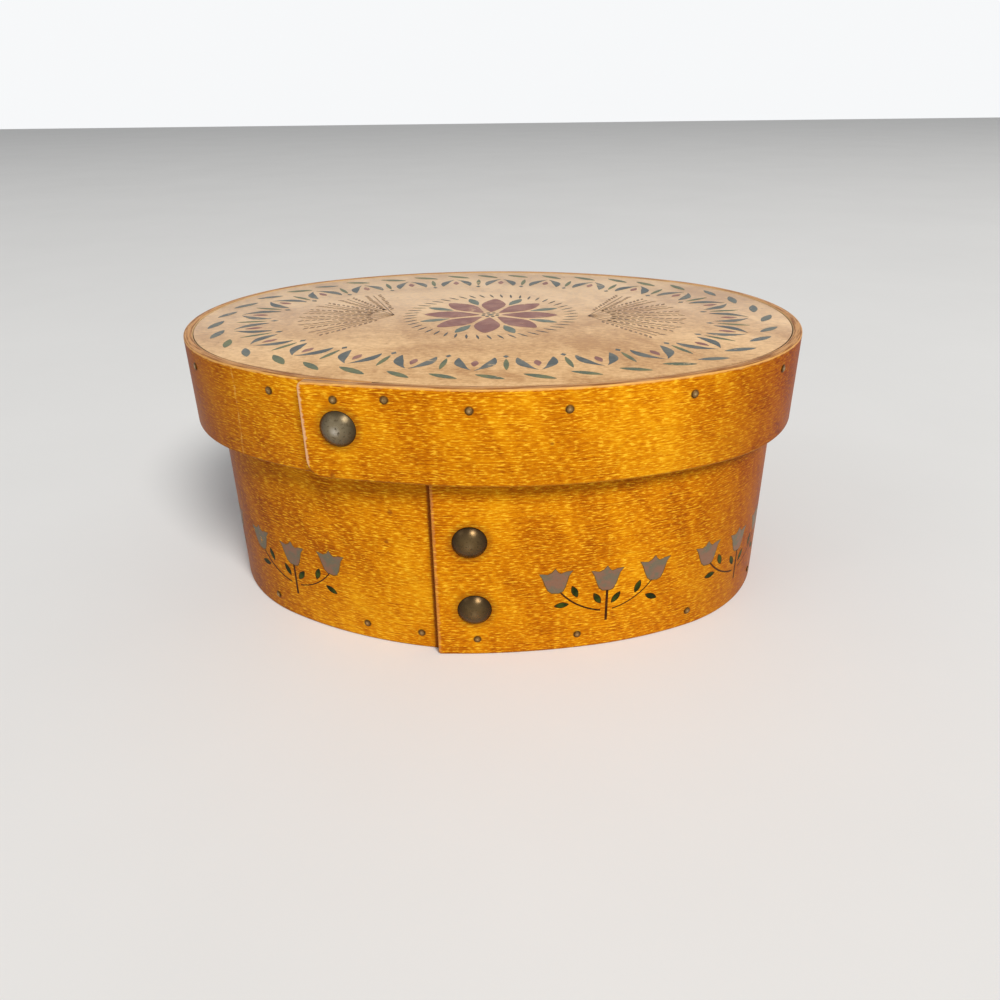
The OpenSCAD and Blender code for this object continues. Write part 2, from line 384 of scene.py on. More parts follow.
body_height, lid_height = 83.0 * mm, 29.0 * mm
lid_low, lid_board_z, total_height = 63.0 * mm, 83.0 * mm, 92.0 * mm
lid_shift = (-1.0 * mm, -1.575 * mm)
lid_inside = 3.2 * mm
body = Hoop(grow=0.0, lap_radius=209.509 * mm, free_turn=1.4536, merge_turn=15.132,
            lap=29.8 * mm, low=0.0, height=body_height, shift=(0, 0))
lid = Hoop(grow=lid_inside + band, lap_radius=512.235 * mm, free_turn=-9.0228, merge_turn=-5.0713,
           lap=21.0 * mm, low=lid_low, height=lid_height, shift=lid_shift)
print("strip lengths", round(body.length / mm, 1), round(lid.length / mm, 1), "mm")

# %% [markdown]
# ## Cut and bend the strips
#
# Each strip starts as a cube at its real size. Its free end's corners are
# rounded with a bevel, then every edge is softened, because a hand-sanded edge
# catches the light. Only then is the long part cut into short lengths, as a
# bevel on a finely cut mesh would fold over itself. Last, every vertex is moved
# round the former.

# %% Tools for shaping in edit mode
def pick(kind, test):
    """In edit mode, selects only the vertices, edges or faces that pass a test."""
    bpy.ops.mesh.select_mode(type=kind)
    bpy.ops.mesh.select_all(action="DESELECT")
    data = bpy.context.edit_object.data
    mesh = bmesh.from_edit_mesh(data)
    for part in {"VERT": mesh.verts, "EDGE": mesh.edges, "FACE": mesh.faces}[kind]:
        if test(part):
            part.select_set(True)
    mesh.select_flush_mode()
    bmesh.update_edit_mesh(data)


def choose(piece):
    """Makes one piece the active one and the only one selected."""
    bpy.ops.object.select_all(action="DESELECT")
    piece.select_set(True)
    bpy.context.view_layer.objects.active = piece


def edit(piece=None):
    """Opens a piece for editing, or closes the open one."""
    if piece:
        choose(piece)
    bpy.ops.object.mode_set(mode="EDIT" if piece else "OBJECT")


def pull(way):
    """Extrudes what is selected."""
    bpy.ops.mesh.extrude_region_move(TRANSFORM_OT_translate={"value": way})


def soften(width, segments):
    """Bevels every sharp edge of the open piece."""
    bpy.ops.mesh.select_all(action="DESELECT")
    bpy.ops.mesh.edges_select_sharp(sharpness=math.radians(60))
    bpy.ops.mesh.bevel(offset=width, segments=segments, affect="EDGES")


def close_up():
    """Turns every face outwards and closes the open piece."""
    bpy.ops.mesh.select_all(action="SELECT")
    bpy.ops.mesh.normals_make_consistent(inside=False)
    edit()


def keep_flat(piece, order=(0, 1, 2)):
    """Keeps each vertex's place on the flat wood: along the grain, into it, across it."""
    flat = piece.data.attributes.new("flat", "FLOAT_VECTOR", "POINT")
    for vertex, kept in zip(piece.data.vertices, flat.data):
        kept.vector = [vertex.co[k] for k in order]


def smooth(piece, angle=35):
    choose(piece)
    bpy.ops.object.shade_smooth_by_angle(angle=math.radians(angle))


# %% Make a hoop
soft_edge, near = 0.5 * mm, 0.1 * mm


def make_hoop(name, hoop, corners):
    length, height = hoop.length, hoop.height
    bpy.ops.mesh.primitive_cube_add(size=1.0)
    strip = bpy.context.object
    strip.name = name
    edit(strip)
    bpy.ops.transform.resize(value=(length, band, height))
    bpy.ops.transform.translate(value=(length / 2, band / 2, height / 2))
    for level, radius in corners:
        pick("EDGE", lambda e: all(v.co.x < near and abs(v.co.z - level) < near for v in e.verts))
        bpy.ops.mesh.bevel(offset=radius, segments=8, affect="EDGES")
    soften(soft_edge, 3)
    for cut in (10 * mm, length - 1 * mm):
        bpy.ops.mesh.select_all(action="SELECT")
        bpy.ops.mesh.bisect(plane_co=(cut, 0, 0), plane_no=(1, 0, 0))
    for shortest in (100 * mm, 10 * mm):
        pick("EDGE", lambda e: abs(e.verts[0].co.x - e.verts[1].co.x) > shortest)
        bpy.ops.mesh.subdivide(number_cuts=17)
    edit()
    keep_flat(strip)
    for vertex in strip.data.vertices:
        vertex.co = hoop.place(*vertex.co)
    smooth(strip)
    return strip


body_hoop = make_hoop("body_hoop", body, [(0.0, 1.0 * mm)])
lid_hoop = make_hoop("lid_hoop", lid, [(0.0, 5.5 * mm), (lid_height, 2.0 * mm)])
for strip in (body_hoop, lid_hoop):
    print(strip.name, len(strip.data.polygons), "faces")

# %% [markdown]
# ## The two boards
#
# The boards are flat ovals that fit inside the hoops. A cylinder with many
# sides is the quickest start: its vertices are moved out to the oval at even
# distances, and the rim is bevelled a little, so that a fine dark groove shows
# round the board as it does on the real lid.

# %% Make a board
board_edge = 0.35 * mm


def make_board(name, grow, low, high, shift):
    bpy.ops.mesh.primitive_cylinder_add(vertices=240, radius=1.0, depth=1.0, end_fill_type="NGON")
    board = bpy.context.object
    board.name = name
    for vertex in board.data.vertices:
        turn = math.atan2(vertex.co.x, -vertex.co.y)
        point, _ = on_oval(turn / (2 * math.pi) * round_length(grow), grow)
        z = high if vertex.co.z > 0 else low
        vertex.co = (point.x + shift[0], point.y + shift[1], z)
    edit(board)
    soften(board_edge, 2)
    edit()
    keep_flat(board, order=(0, 2, 1))
    smooth(board)
    return board


joint = 0.1 * mm
lid_top_z = total_height - 0.1 * mm
base_panel = make_board("base_panel", -band - joint, 0.0, 9.0 * mm, (0, 0))
lid_panel = make_board("lid_panel", lid_inside - joint, lid_board_z, lid_top_z, lid_shift)
print("boards", [tuple(round(d / mm) for d in b.dimensions) for b in (base_panel, lid_panel)])

# %% [markdown]
# ## Tacks
#
# A tack has a thin domed head and a soft shank that goes through both layers of
# the lap and is hammered over on the inside. The dome is the cap of a sphere
# given a wall with Solidify, and the shank is a disc that is extruded, spun
# round its bend and drawn to a point. One plain tack is made, and each of its
# three copies has its leg moved to suit the wood where it goes.

# %% Make one tack
head_width, head_height, head_wall = 10.8 * mm, 2.7 * mm, 0.7 * mm
shank, leg, seat = 0.9 * mm, 4.0 * mm, 0.05 * mm


def join(name, pieces):
    """Joins pieces into one."""
    bpy.ops.object.select_all(action="DESELECT")
    for piece in pieces:
        piece.select_set(True)
    bpy.context.view_layer.objects.active = pieces[0]
    bpy.ops.object.join()
    pieces[0].name = name
    return pieces[0]


def copy_of(piece, name, matrix=Matrix.Identity(4)):
    twin = piece.copy()
    twin.data = piece.data.copy()
    twin.name = name
    twin.data.transform(matrix)
    bpy.context.scene.collection.objects.link(twin)
    return twin


def apply_modifier(piece, kind, **settings):
    choose(piece)
    modifier = piece.modifiers.new(kind.title(), kind)
    for name, value in settings.items():
        setattr(modifier, name, value)
    bpy.ops.object.modifier_apply(modifier=modifier.name)


def make_tack(depth):
    dome = ((head_width / 2) ** 2 + head_height ** 2) / (2 * head_height)
    bpy.ops.mesh.primitive_uv_sphere_add(segments=48, ring_count=40, radius=dome)
    head = bpy.context.object
    edit(head)
    bpy.ops.transform.translate(value=(0, 0, seat + head_height - dome))
    bpy.ops.mesh.select_all(action="SELECT")
    bpy.ops.mesh.bisect(plane_co=(0, 0, seat), plane_no=(0, 0, 1), clear_inner=True)
    edit()
    apply_modifier(head, "SOLIDIFY", thickness=head_wall, offset=-1.0)
    apply_modifier(head, "BEVEL", width=0.15 * mm, segments=2, angle_limit=math.radians(40))
    bend, leg_z = shank + 2 * seat, -depth - 4 * seat - shank
    bpy.ops.mesh.primitive_circle_add(vertices=16, radius=shank, fill_type="NGON")
    stem = bpy.context.object
    edit(stem)
    bpy.ops.transform.translate(value=(0, 0, head_height - head_wall / 2))
    fall = leg_z + bend - (head_height - head_wall / 2)
    pull((0, 0, fall))
    bpy.ops.mesh.spin(steps=6, angle=math.pi / 2, center=(0, -bend, leg_z + bend), axis=(-1, 0, 0))
    pull((0, 2 * shank - leg, 0))
    pull((0, -2 * shank, 0))
    tip = (0, -bend - leg, leg_z)
    bpy.ops.transform.resize(value=(0.25, 0.25, 0.25), center_override=tip)
    close_up()
    tack = join("tack", [head, stem])
    keep_flat(tack)
    smooth(tack, 40)
    return tack


tack_seats = [("tack_body_high", body, 11.2 * mm, 41.6 * mm), ("tack_body_low", body, 12.1 * mm, 17.3 * mm),
              ("tack_lid", lid, 11.0 * mm, 15.8 * mm)]
first_depth = body.wood_behind(tack_seats[0][2])
plain_tack = make_tack(first_depth)
lowest = min(v.co.z for v in plain_tack.data.vertices)
print("tack reaches", round(lowest / mm, 2), "mm into", round(first_depth / mm, 2), "mm of wood")

# %% Set the three tacks
tacks = []
for name, hoop, along, up in tack_seats:
    tack = copy_of(plain_tack, name)
    for vertex in tack.data.vertices:
        if vertex.co.z < -1.0 * mm:
            vertex.co.z -= hoop.wood_behind(along) - first_depth
    tack.data.transform(hoop.stand(along, up))
    tacks.append(tack)
bpy.data.objects.remove(plain_tack)
print("tacks", [t.name for t in tacks])

# %% [markdown]
# ## Brads
#
# Small pins hold each hoop to its board. Five of the bottom row and six of the
# lid's row are where the real ones are, the rest follow at even steps. A brad
# is a disc whose top is drawn in for a low crown, and whose underside is inset
# and pulled out to a pin.

# %% Make one brad and set the rows
brad_head, brad_pin, brad_length, brad_point = 1.1 * mm, 0.55 * mm, 14.0 * mm, 1.6 * mm
brad_in, brad_step = 5.4 * mm, 38.0 * mm


def make_brad():
    bpy.ops.mesh.primitive_circle_add(vertices=16, radius=brad_head, fill_type="NGON")
    brad = bpy.context.object
    edit(brad)
    bpy.ops.transform.translate(value=(0, 0, seat))
    for rise, width in ((0.14, 1.0), (0.12, 0.86), (0.05, 0.6)):
        pull((0, 0, rise * mm))
        bpy.ops.transform.resize(value=(width, width, 1.0))
    pick("FACE", lambda f: f.calc_center_median().z < seat + 0.01 * mm and len(f.verts) > 4)
    bpy.ops.mesh.inset(thickness=brad_head - brad_pin)
    pull((0, 0, brad_point - brad_length))
    pull((0, 0, -brad_point))
    bpy.ops.transform.resize(value=(0.25, 0.25, 1.0))
    close_up()
    keep_flat(brad)
    smooth(brad, 50)
    return brad


def brad_row(front, grow):
    """All places of a row: those listed at the front, then even steps round the rest."""
    first, last = front[0][0] * mm, front[-1][0] * mm
    rest = round_length(grow) - (last - first)
    steps = round(rest / brad_step)
    spaced = [(last + rest * k / steps, 0.0) for k in range(1, steps)]
    return [(s * mm, h * mm) for s, h in front] + spaced


body_front = [(-38.5, 0.4), (-19.4, 0.2), (-0.9, 0.6), (31.1, 0.0), (70.8, 0.5)]
lid_front = [(-60.1, 0.0), (-37.4, 0.7), (-22.8, 1.5), (0.5, -0.7), (27.6, -0.8), (64.2, -0.2)]
body_nails = [(body.along_of(s), brad_in + h) for s, h in brad_row(body_front, 0.0)]
lid_nails = [(lid.along_of(s), lid_height - brad_in + h) for s, h in brad_row(lid_front, lid.grow)]
plain_brad = make_brad()


def set_brads(name, hoop, nails):
    return join(name, [copy_of(plain_brad, name, hoop.stand(*nail)) for nail in nails])


body_brads = set_brads("brads_body", body, body_nails)
lid_brads = set_brads("brads_lid", lid, lid_nails)
bpy.data.objects.remove(plain_brad)
print("brads", len(body_nails), len(lid_nails))

# %% [markdown]
# ## Birch grain
#
# One shader group holds what all the birch has in common. Flecks are short
# dashes along the grain, lines are long fine pores, curl is the soft slanting
# shimmer across it, clouds are wide changes of tone, and rings are faint growth
# lines. All of them are noise in the flat strip, most of it stretched.

# %% Build the grain group
grain_parts = ("Fleck", "Line", "Curl", "Cloud", "Ring", "Height")
grain_tree, takes, gives = new_group(
    "birch grain", {"Place": "Vector"}, dict.fromkeys(grain_parts, "Float"))
place = takes["Place"]
fleck = noise(grain_tree, place, (430, 900, 2300), detail=2.5, rough=0.60, warp=0.2)
line = noise(grain_tree, place, (45, 600, 2600), detail=2.0, rough=0.5)
slanted = put(grain_tree, "VectorRotate", {"Vector": place, "Axis": (0, 1, 0), "Angle": math.radians(24)})
curl = noise(grain_tree, slanted.outputs[0], (120, 30, 38), detail=2.0, rough=0.55, warp=0.6)
cloud = noise(grain_tree, place, (16, 16, 26), detail=3.0, rough=0.6, warp=0.8)
swirl = noise(grain_tree, place, (9, 20, 30), detail=1.0, rough=0.4, warp=1.2)
ring = calc(grain_tree, "PINGPONG", calc(grain_tree, "MULTIPLY", swirl, 9.0), 0.5)
ring = fade(grain_tree, ring, 0.10, 0.0)
height = calc(grain_tree, "MULTIPLY_ADD", line, 0.35, fleck)
for label, value in zip(grain_parts, (fleck, line, curl, cloud, ring, height)):
    grain_tree.links.new(value, gives[label])
print("grain group", len(grain_tree.nodes), "nodes")


def new_birch(name):
    """A new material, with the place on the flat wood and the grain there."""
    material, tree, shader = new_material(name)
    place = put(tree, "Attribute", attribute_name="flat").outputs["Vector"]
    return material, tree, shader, place, use_group(tree, grain_tree, {"Place": place})


# %% [markdown]
# ## Rust and dirt round the nails
#
# Iron marks birch: a dark ring grows round every nail. The ring needs only the
# distance from each nail on the flat strip, so a loop adds one distance for
# each nail and keeps the smallest.

# %% Distance to the nearest nail
def nearest(tree, place, spots):
    """Distance on the flat strip to the nearest of the spots."""
    parts = put(tree, "SeparateXYZ", {0: place}).outputs
    flat = put(tree, "CombineXYZ", {0: parts[0], 2: parts[2]}).outputs[0]
    least = None
    for along, up in spots:
        gap = put(tree, "VectorMath", {0: flat, 1: (along, 0.0, up)}, operation="DISTANCE").outputs[1]
        least = gap if least is None else calc(tree, "MINIMUM", least, gap)
    return least


# %% [markdown]
# ## Varnished hoops
#
# The amber is old tinted varnish. Its bright flecks are partly paler wood and
# partly painted glints. It is redder and darker at the ends of the oval: this is
# painted shade where the ends turn away from the light, with some darker varnish
# too. It is worn pale along the upper edge and at the lap's end, and dirty round
# the nails. The seam at the lap's free end is darkened with dirt and a painted
# shadow of the outer layer, and a thin band along the bottom edge is painted
# shade. The cut edge is a browner pink, and the inside was never varnished. The
# painted shade at the ends follows the box from side to side. All the rest are
# masks on the flat strip's coordinates, so they stay with the wood.

# %% Tint, rust and wear of a hoop
end_shade_span = (48 * mm, 104 * mm)
rust_ring, tack_dirt = (1.55 * mm, 1.15 * mm), (8.2 * mm, 5.3 * mm)
seam_side = 0.7 * mm


def varnish(tree, grain):
    """Amber over the grain, with bright flecks that are partly painted glints, and painted shade at the
    ends.
    """
    tone = blend(tree, [(grain["Fleck"], 0.36), (grain["Line"], 0.22),
                        (grain["Curl"], 0.20), (grain["Cloud"], 0.22)])
    colour = colour_scale(tree, tone, [
        (0.41, tint(0.36, 0.085, 0.0004)), (0.47, tint(0.54, 0.160, 0.0008)),
        (0.53, tint(0.68, 0.240, 0.0012)), (0.59, tint(0.80, 0.350, 0.0050))])
    # The brightest flecks are lifted to pale yellow: partly paler wood, partly painted glints.
    colour = cover(tree, colour, fade(tree, grain["Fleck"], 0.53, 0.66), 0.75, tint(0.98, 0.56, 0.030))
    colour = cover(tree, colour, grain["Ring"], 0.16, tint(0.36, 0.10, 0.001))
    sideways = put(tree, "SeparateXYZ", {0: put(tree, "TexCoord").outputs["Object"]}).outputs[0]
    # Painted shade: the ends of the oval are darkened and reddened where they turn away from the light.
    ends = fade(tree, calc(tree, "ABSOLUTE", sideways), *end_shade_span)
    return cover(tree, colour, ends, 0.90, tint(0.34, 0.115, 0.05), "MULTIPLY")


def stained(tree, colour, place, nails, studs):
    """Rust rings round the brads, and dirt round the tacks."""
    rust = fade(tree, nearest(tree, place, nails), *rust_ring)
    colour = cover(tree, colour, rust, 0.70, tint(0.10, 0.045, 0.008))
    grime = fade(tree, nearest(tree, place, studs), *tack_dirt)
    return cover(tree, colour, grime, 0.45, tint(0.16, 0.05, 0.004))


def ragged(tree, distance, rub, bite, outer, inner):
    """A mask that goes from 0 at the outer distance to 1 at the inner, its edge eaten by noise."""
    return fade(tree, calc(tree, "MULTIPLY_ADD", rub, -bite, distance), outer, inner)


def rubbed(tree, colour, hoop, along, up, rub, chafe, seam_dirt_and_shadow):
    """Pale wear on the upper edge and the lap's end, painted shade along the bottom edge, and dirt with a
    painted shadow in the seam.
    """
    edge = calc(tree, "SUBTRACT", hoop.height, up)
    worn = calc(tree, "MULTIPLY", ragged(tree, edge, rub, 1.3 * mm, 0.20 * mm, -0.30 * mm), 0.60)
    colour = mixed(tree, worn, colour, tint(0.86, 0.50, 0.16))
    tip = calc(tree, "MINIMUM", along, calc(tree, "MULTIPLY_ADD", along, 0.25, up))
    tip = ragged(tree, tip, rub, 2.2 * mm, 0.10 * mm, -0.50 * mm)
    colour = cover(tree, colour, tip, chafe, tint(0.80, 0.46, 0.24))
    # Painted shade: a thin dark band along the bottom edge, where the body stands on the floor and the
    # lid's edge sits over the body.
    colour = cover(tree, colour, fade(tree, up, 0.9 * mm, 0.3 * mm), 0.55, tint(0.30, 0.11, 0.012))
    # Dirt and painted shadow: a dark line on the layer beneath, just beside the lap's free end, where the
    # outer layer's edge shades it.
    seam_at = hoop.lap_run + hoop.round + hoop.free_place - hoop.merge_place - seam_side
    seam_shadow_and_dirt = calc(tree, "ABSOLUTE", calc(tree, "SUBTRACT", along, seam_at))
    seam_shadow_and_dirt = ragged(tree, seam_shadow_and_dirt, rub, 0.9 * mm, 1.0 * mm, 0.20 * mm)
    return cover(tree, colour, seam_shadow_and_dirt, seam_dirt_and_shadow, tint(0.20, 0.045, 0.004)), worn


def smudged(tree, colour, hoop, place, rub, smudges):
    """Small dark spots: place round the hoop, height on it and size, in mm."""
    for place_round, level, size in smudges:
        spot = nearest(tree, place, [(hoop.along_of(place_round * mm), level * mm)])
        spot = ragged(tree, spot, rub, 1.6 * size * mm, 0.3 * size * mm, -0.5 * size * mm)
        colour = cover(tree, colour, spot, 0.65, tint(0.22, 0.045, 0.004))
    return colour


def creased(tree, colour, hoop, along, cloud, rub, crease):
    """One thin pale line up the strip, where the bend has strained it."""
    wander = calc(tree, "MULTIPLY_ADD", cloud, 9.0 * mm, hoop.along_of(crease * mm) - 4.5 * mm)
    line = calc(tree, "ABSOLUTE", calc(tree, "SUBTRACT", along, wander))
    pale = calc(tree, "MULTIPLY", fade(tree, line, 0.55 * mm, 0.10 * mm), fade(tree, rub, 0.40, 0.60))
    return cover(tree, colour, pale, 0.55, tint(0.72, 0.36, 0.07))


# %% Mix the hoop's varnish
def hoop_wood(name, hoop, nails, studs, chafe, seam_dirt_and_shadow, smudges, crease=None):
    material, tree, shader, place, grain = new_birch(name)
    along, depth, up = put(tree, "SeparateXYZ", {0: place}).outputs
    rub = noise(tree, place, (240, 240, 700), detail=4.0, rough=0.7)
    colour = stained(tree, varnish(tree, grain), place, nails, studs)
    colour, worn = rubbed(tree, colour, hoop, along, up, rub, chafe, seam_dirt_and_shadow)
    colour = smudged(tree, colour, hoop, place, rub, smudges)
    if crease:
        colour = creased(tree, colour, hoop, along, grain["Cloud"], rub, crease)

    cut = fade(tree, up, hoop.height - 0.22 * mm, hoop.height - 0.05 * mm)
    streak = fade(tree, noise(tree, place, (90, 1600, 400), detail=3.0), 0.38, 0.58)
    cut_colour = mixed(tree, streak, tint(0.28, 0.105, 0.028), tint(0.60, 0.305, 0.115))
    colour = mixed(tree, cut, colour, cut_colour)
    bare = fade(tree, depth, band - 0.45 * mm, band - 0.15 * mm)
    raw = mixed(tree, grain["Fleck"], tint(0.50, 0.30, 0.13), tint(0.76, 0.54, 0.30))
    colour = mixed(tree, bare, colour, raw)
    matt = calc(tree, "MULTIPLY", calc(tree, "MAXIMUM", bare, worn), 0.62)
    shine = calc(tree, "MAXIMUM", calc(tree, "MULTIPLY_ADD", grain["Fleck"], 0.30, 0.24), matt)
    surface(tree, shader, colour, shine, grain["Height"], 0.55, 0.10 * mm, level=0.035)
    return material


def studs_of(hoop):
    return [(along, up) for _, owner, along, up in tack_seats if owner is hoop]


body_smudges = [(-27.0, 49.0, 1.3), (-29.0, 38.5, 0.9), (60.0, 52.0, 0.8),
                (175.0, 44.0, 1.2), (-150.0, 30.0, 1.0)]
lid_smudges = [(90.0, 1.4, 0.9), (23.0, 13.0, 0.7), (-40.0, 1.2, 1.0),
               (160.0, 12.0, 1.1), (-190.0, 16.0, 0.9)]
body_hoop.data.materials.append(hoop_wood(
    "body hoop varnish", body, body_nails, studs_of(body),
    chafe=0.15, seam_dirt_and_shadow=0.85, smudges=body_smudges))
lid_hoop.data.materials.append(hoop_wood(
    "lid hoop varnish", lid, lid_nails, studs_of(lid),
    chafe=0.85, seam_dirt_and_shadow=0.35, smudges=lid_smudges, crease=-75.0))
print("hoop materials", [m.name for m in bpy.data.materials if "hoop" in m.name])

# %% [markdown]
# ## Boards
#
# The lid's board has a clearer varnish, so the birch shows pale peach with
# fine mottling and a few browner clouds. Its rim, in the groove, is dark with
# old polish. The bottom board is the same wood left bare.

# %% Mix the boards' finishes
def board_wood(name, pale, mid, dark, rough, rim_z=None):
    material, tree, shader, place, grain = new_birch(name)
    mottle = noise(tree, place, (500, 500, 800), detail=3.0, rough=0.7)
    tone = blend(tree, [(mottle, 0.26), (grain["Fleck"], 0.16),
                        (grain["Cloud"], 0.42), (grain["Curl"], 0.16)])
    colour = colour_scale(tree, tone, [(0.41, dark), (0.49, mid), (0.57, pale)])
    colour = cover(tree, colour, grain["Ring"], 0.12, dark)
    if rim_z:
        parts = put(tree, "SeparateXYZ", {0: place}).outputs
        groove = fade(tree, parts[1], rim_z - 0.04 * mm, rim_z - 0.20 * mm)
        colour = mixed(tree, groove, colour, tint(0.07, 0.035, 0.015))
    shine = calc(tree, "MULTIPLY_ADD", mottle, 0.25, rough)
    surface(tree, shader, colour, shine, grain["Height"], 0.35, 0.06 * mm, level=0.36)
    return material


lid_panel.data.materials.append(board_wood(
    "lid board varnish", tint(0.84, 0.53, 0.25), tint(0.66, 0.385, 0.16), tint(0.46, 0.225, 0.07),
    0.20, rim_z=lid_top_z))
base_panel.data.materials.append(board_wood(
    "bare bottom board", tint(0.74, 0.55, 0.33), tint(0.62, 0.43, 0.24), tint(0.44, 0.28, 0.14), 0.5))
print("board materials ready")

# %% [markdown]
# ## Brass and steel
#
# Old brass is darkest at the rim, where nobody rubs it, and brighter on the
# crown. The tack's own flat coordinates give the distance from its middle.
# The brads are plain steel, dull, browned by rust and a little pitted.

# %% Mix the metals
def old_metal(name, crown, mid, rim, width, rough, speck):
    material, tree, shader = new_material(name)
    own = put(tree, "Attribute", attribute_name="flat").outputs["Vector"]
    parts = put(tree, "SeparateXYZ", {0: own}).outputs
    flat = put(tree, "CombineXYZ", {0: parts[0], 1: parts[1]}).outputs[0]
    out = put(tree, "VectorMath", {0: flat}, operation="LENGTH").outputs[1]
    place = put(tree, "TexCoord").outputs["Object"]
    cloud = noise(tree, place, (420, 420, 420), detail=5.0, rough=0.7)
    out = calc(tree, "MULTIPLY_ADD", cloud, 0.35 * width, out)
    colour = colour_scale(tree, calc(tree, "DIVIDE", out, width * 1.2), [
        (0.14, crown), (0.42, mid), (0.92, rim)])
    pits = noise(tree, place, (1500, 1500, 1500), detail=3.0, rough=0.6)
    colour = cover(tree, colour, fade(tree, pits, 0.56, 0.66), speck, rim)
    shader.inputs["Metallic"].default_value = 0.9
    surface(tree, shader, colour, calc(tree, "MULTIPLY_ADD", cloud, 0.35, rough), cloud, 0.35, 0.12 * mm)
    return material


dark_brass = old_metal(
    "dark brass", crown=tint(0.21, 0.140, 0.065), mid=tint(0.135, 0.085, 0.034),
    rim=tint(0.045, 0.026, 0.010), width=head_width / 2, rough=0.12, speck=0.5)
rubbed_brass = old_metal(
    "rubbed brass", crown=tint(0.52, 0.46, 0.37), mid=tint(0.24, 0.19, 0.115),
    rim=tint(0.07, 0.05, 0.025), width=head_width / 2, rough=0.14, speck=0.8)
dull_steel = old_metal(
    "dull steel", crown=tint(0.56, 0.42, 0.22), mid=tint(0.36, 0.22, 0.08),
    rim=tint(0.10, 0.045, 0.010), width=brad_head, rough=0.30, speck=0.6)
for tack, metal in zip(tacks, (dark_brass, dark_brass, rubbed_brass)):
    tack.data.materials.append(metal)
for brads in (body_brads, lid_brads):
    brads.data.materials.append(dull_steel)
print("metals ready")

# %% [markdown]
# ## Stencil paint
#
# The paint is a thin film on the wood, and it is worn: where it has rubbed off
# it takes the colour of the wood. Each paint is mottled between two tones,
# because a stencil brush never covers evenly.

# %% Mix the paints
def paint(name, first, second, wood, worn=0.62, sheen=0.28):
    material, tree, shader, place, grain = new_birch(name)
    patch = noise(tree, place, (170, 170, 170), detail=3.0, rough=0.6)
    colour = mixed(tree, fade(tree, patch, 0.40, 0.60), first, second)
    colour = cover(tree, colour, grain["Fleck"], 0.35, wood, "SOFT_LIGHT")
    rub = blend(tree, [(patch, 0.5), (grain["Fleck"], 0.5)])
    colour = mixed(tree, fade(tree, rub, worn, worn + 0.03), colour, wood)
    shine = calc(tree, "MULTIPLY_ADD", grain["Fleck"], 0.3, 0.28)
    surface(tree, shader, colour, shine, grain["Height"], 0.45, 0.08 * mm, level=sheen)
    return material


amber, peach = tint(0.66, 0.26, 0.006), tint(0.70, 0.46, 0.23)
tulip_paint = paint("tulip grey", tint(0.225, 0.135, 0.095), tint(0.150, 0.145, 0.105), amber, 0.62, 0.08)
rim_paint = paint("olive rim", tint(0.130, 0.080, 0.018), tint(0.200, 0.110, 0.020), amber, 0.58, 0.08)
stem_paint = paint("stem brown", tint(0.045, 0.014, 0.002), tint(0.080, 0.028, 0.004), amber, 0.70, 0.08)
green_paint = paint("leaf green", tint(0.012, 0.022, 0.004), tint(0.040, 0.068, 0.008), amber, 0.70, 0.08)
print("paints", [m.name for m in (tulip_paint, stem_paint, green_paint)])

# %% [markdown]
# ## Brush marks
#
# Leaves, petals and commas start as a filled circle that is pushed into shape,
# and stems are strokes. All are drawn flat, given a hair of thickness by an
# extrusion, and then laid on the wood. A shape that goes on a bent hoop is cut
# fine enough to follow the curve.

# %% Draw a mark
film, thin_film, film_gap = 0.024 * mm, 0.012 * mm, 0.008 * mm


def circle_mark(name, sides, outline):
    """A filled shape in the XY plane: outline gives each corner from its turn."""
    bpy.ops.mesh.primitive_circle_add(vertices=sides, radius=1.0, fill_type="NGON")
    mark = bpy.context.object
    mark.name = name
    for number, vertex in enumerate(mark.data.vertices):
        x, y = outline(2 * math.pi * number / sides, number)
        vertex.co = (x, y, 0.0)
    return mark


def oval_mark(name, sides, x_radius, y_radius):
    """A plain oval, or a diamond where it has four sides."""
    return circle_mark(name, sides, lambda turn, n: (x_radius * math.cos(turn), y_radius * math.sin(turn)))


def leaf_mark(name, length, width, sides=14, tail=1.0, sway=0.0):
    """A leaf along X: tail over 1 draws its left end out, sway bends it like a comma."""
    def outline(turn, number):
        u, v = math.cos(turn), math.sin(turn)
        thin = 1.0 - 0.45 * u * u if u > 0 else (1.0 - 0.45 * u * u) * (1 + u * (tail - 1.0) / tail)
        return u * length / 2, v * thin * width / 2 + sway * (u * u - 0.4)
    return circle_mark(name, sides, outline)


tulip_edge = [(0.6, 0), (1.9, 0.5), (2.7, 2.0), (3.3, 3.9), (3.9, 5.9), (5.1, 7.5), (2.9, 7.4), (1.5, 6.9),
              (0.6, 7.5), (-0.2, 8.8), (-1.3, 7.6), (-2.6, 7.0), (-5.2, 7.6), (-4.2, 5.7), (-3.5, 3.4),
              (-2.7, 1.4), (-1.6, 0.3)]
tulip = circle_mark("tulip", len(tulip_edge), lambda turn, n: [k * mm for k in tulip_edge[n]])
sprig_leaf = leaf_mark("sprig leaf", 4.6 * mm, 2.1 * mm)
print("marks", tulip.name, sprig_leaf.name)


# %% Thicken a mark and cut it finer
def thicken(piece, cuts=0, coat=film):
    """Gives a flat mark its coat of paint, and cuts it first where it has to bend."""
    edit(piece)
    bpy.ops.mesh.select_all(action="SELECT")
    if cuts:
        bpy.ops.mesh.quads_convert_to_tris()
        bpy.ops.mesh.subdivide(number_cuts=cuts)
    pull((0, 0, coat))
    close_up()
    return piece


# %% [markdown]
# ## Tulip sprigs round the body
#
# The border is an old stencil pattern: three tulips on one stem with two arched
# branches and six leaves. The branches are short edges spun about a centre. The
# sprigs stand at tenths of the way round, and the tenth place, at the lap, is
# left free for the tacks.

